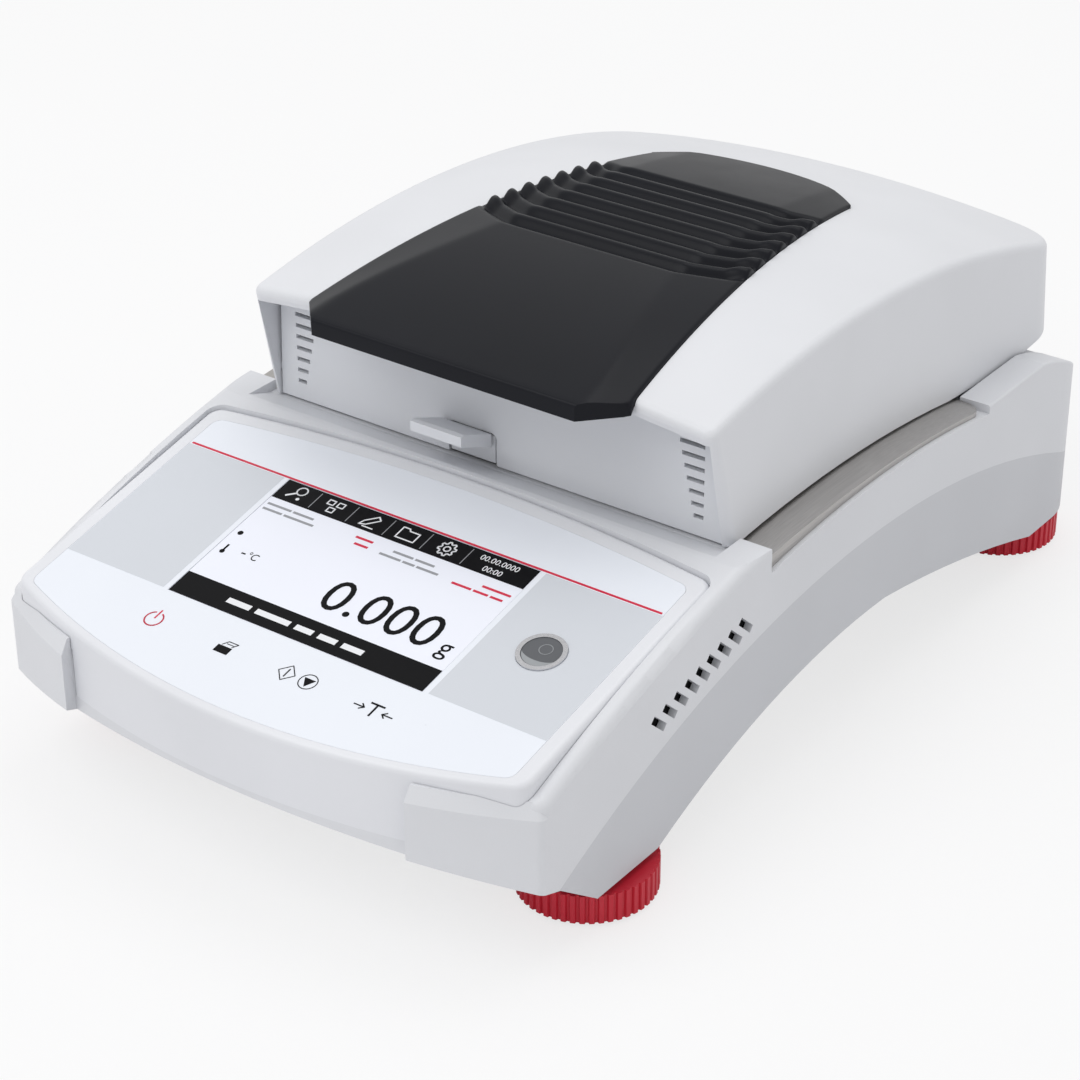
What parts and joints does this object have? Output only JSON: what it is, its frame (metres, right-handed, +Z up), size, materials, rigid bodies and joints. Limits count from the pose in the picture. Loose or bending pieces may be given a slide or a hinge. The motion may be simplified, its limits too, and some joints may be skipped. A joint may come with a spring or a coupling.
{
  "type": "moisture analyzer",
  "caption": "Bench moisture analyzer: arched two-tone housing on red levelling wheels, tilted touch console, hinged halogen-dryer lid with a black ribbed vent insert.",
  "frame": {"origin": "centre of the bounding box at the level of the feet", "axes": "+Z up, -Y to the front (display side), +X to the object's right"},
  "size_m": [0.2352, 0.3841, 0.157],
  "materials": {
    "housing_upper": "fine-textured light grey",
    "housing_lower": "fine-textured grey",
    "lid_plastic": "fine-textured light grey",
    "insert_black": "satin black",
    "overlay": "printed membrane film",
    "screen": "display glass",
    "stainless": "brushed",
    "bright_steel": "polished",
    "cell_alloy": "machined",
    "reflector_metal": "polished sheet",
    "foot_red": "satin red",
    "pad_rubber": "matt",
    "brass_insert": "machined",
    "board_green": "solder resist",
    "socket_black": "moulded",
    "key_plastic": "moulded",
    "heater_glass": "clear",
    "vial_glass": "tinted",
    "ceramic": "glazed",
    "hinge_steel": "zinc plated"
  },
  "bodies": {
    "base": {"base_frame": "cell_alloy", "base_lower_housing": "housing_lower", "base_upper_housing": "housing_upper", "chamber_tray": "stainless", "connector_plate": "bright_steel", "console_housing": "housing_upper", "control_overlay": "overlay", "display_module": "screen", "draft_shield": "stainless", "foot_insert_front_left": "brass_insert", "foot_insert_front_right": "brass_insert", "foot_insert_rear_left": "brass_insert", "foot_insert_rear_right": "brass_insert", "heat_shield_cup": "stainless", "hinge_bracket_left": "hinge_steel", "hinge_bracket_right": "hinge_steel", "hinge_pin_left": "hinge_steel", "hinge_pin_right": "hinge_steel", "key_board": "board_green", "level_ring": "bright_steel", "level_vial": "vial_glass", "load_cell": "cell_alloy", "load_cell_spacer": "cell_alloy", "main_board": "board_green", "pan_handler": "bright_steel", "pan_handler_grip": "lid_plastic", "power_inlet": "socket_black", "power_supply_board": "board_green", "serial_port": "bright_steel", "usb_port_1": "bright_steel", "usb_port_2": "bright_steel"},
    "lid": {"glass_retainer_ring": "stainless", "halogen_lamp": "heater_glass", "lamp_holder_left": "ceramic", "lamp_holder_right": "ceramic", "lamp_reflector": "reflector_metal", "lid_hinge_arm_left": "hinge_steel", "lid_hinge_arm_right": "hinge_steel", "lid_inner_shell": "lid_plastic", "lid_outer_shell": "lid_plastic", "lid_vent_insert": "insert_black", "protective_glass": "heater_glass", "temperature_sensor": "stainless"},
    "weighing_pan": {"sample_pan": "cell_alloy", "pan_support": "bright_steel"},
    "key_power": {"key_power": "key_plastic"},
    "key_print": {"key_print": "key_plastic"},
    "key_start_stop": {"key_start_stop": "key_plastic"},
    "key_tare": {"key_tare": "key_plastic"},
    "foot_pad_front_left": {"foot_pad_front_left": "pad_rubber"},
    "foot_wheel_front_left": {"foot_wheel_front_left": "foot_red"},
    "foot_pad_front_right": {"foot_pad_front_right": "pad_rubber"},
    "foot_wheel_front_right": {"foot_wheel_front_right": "foot_red"},
    "foot_pad_rear_left": {"foot_pad_rear_left": "pad_rubber"},
    "foot_wheel_rear_left": {"foot_wheel_rear_left": "foot_red"},
    "foot_pad_rear_right": {"foot_pad_rear_right": "pad_rubber"},
    "foot_wheel_rear_right": {"foot_wheel_rear_right": "foot_red"}
  },
  "joints": [
    {"name": "lid_hinge", "type": "hinge", "parent": "base", "child": "lid", "pos_m": [0, 0.173, 0.08], "axis": [-1, 0, 0], "range_deg": [0, 60]},
    {"name": "pan_travel", "type": "slide", "parent": "base", "child": "weighing_pan", "axis": [0, 0, -1], "range_m": [0, 0.0003], "stiffness_N_per_m": 20000},
    {"name": "key_power_press", "type": "slide", "parent": "base", "child": "key_power", "axis": [0, 0.2171, -0.9761], "range_m": [0, 0.0003], "stiffness_N_per_m": 3000},
    {"name": "key_print_press", "type": "slide", "parent": "base", "child": "key_print", "axis": [0, 0.2171, -0.9761], "range_m": [0, 0.0003], "stiffness_N_per_m": 3000},
    {"name": "key_start_stop_press", "type": "slide", "parent": "base", "child": "key_start_stop", "axis": [0, 0.2171, -0.9761], "range_m": [0, 0.0003], "stiffness_N_per_m": 3000},
    {"name": "key_tare_press", "type": "slide", "parent": "base", "child": "key_tare", "axis": [0, 0.2171, -0.9761], "range_m": [0, 0.0003], "stiffness_N_per_m": 3000},
    {"name": "foot_front_left_height", "type": "slide", "parent": "base", "child": "foot_pad_front_left", "axis": [0, 0, -1], "range_m": [0, 0.00625]},
    {"name": "foot_front_left_turn", "type": "hinge", "parent": "foot_pad_front_left", "child": "foot_wheel_front_left", "pos_m": [-0.0935, -0.1205, 0.0065], "axis": [0, 0, 1], "range_deg": [0, 1800]},
    {"name": "foot_front_right_height", "type": "slide", "parent": "base", "child": "foot_pad_front_right", "axis": [0, 0, -1], "range_m": [0, 0.00625]},
    {"name": "foot_front_right_turn", "type": "hinge", "parent": "foot_pad_front_right", "child": "foot_wheel_front_right", "pos_m": [0.0935, -0.1205, 0.0065], "axis": [0, 0, 1], "range_deg": [0, 1800]},
    {"name": "foot_rear_left_height", "type": "slide", "parent": "base", "child": "foot_pad_rear_left", "axis": [0, 0, -1], "range_m": [0, 0.00625]},
    {"name": "foot_rear_left_turn", "type": "hinge", "parent": "foot_pad_rear_left", "child": "foot_wheel_rear_left", "pos_m": [-0.087, 0.168, 0.0065], "axis": [0, 0, 1], "range_deg": [0, 1800]},
    {"name": "foot_rear_right_height", "type": "slide", "parent": "base", "child": "foot_pad_rear_right", "axis": [0, 0, -1], "range_m": [0, 0.00625]},
    {"name": "foot_rear_right_turn", "type": "hinge", "parent": "foot_pad_rear_right", "child": "foot_wheel_rear_right", "pos_m": [0.087, 0.168, 0.0065], "axis": [0, 0, 1], "range_deg": [0, 1800]}
  ],
  "couplings": [
    {"joint": "foot_front_left_turn", "follows": "foot_front_left_height", "rad_per_m": 5026.5},
    {"joint": "foot_front_right_turn", "follows": "foot_front_right_height", "rad_per_m": 5026.5},
    {"joint": "foot_rear_left_turn", "follows": "foot_rear_left_height", "rad_per_m": 5026.5},
    {"joint": "foot_rear_right_turn", "follows": "foot_rear_right_height", "rad_per_m": 5026.5}
  ]
}
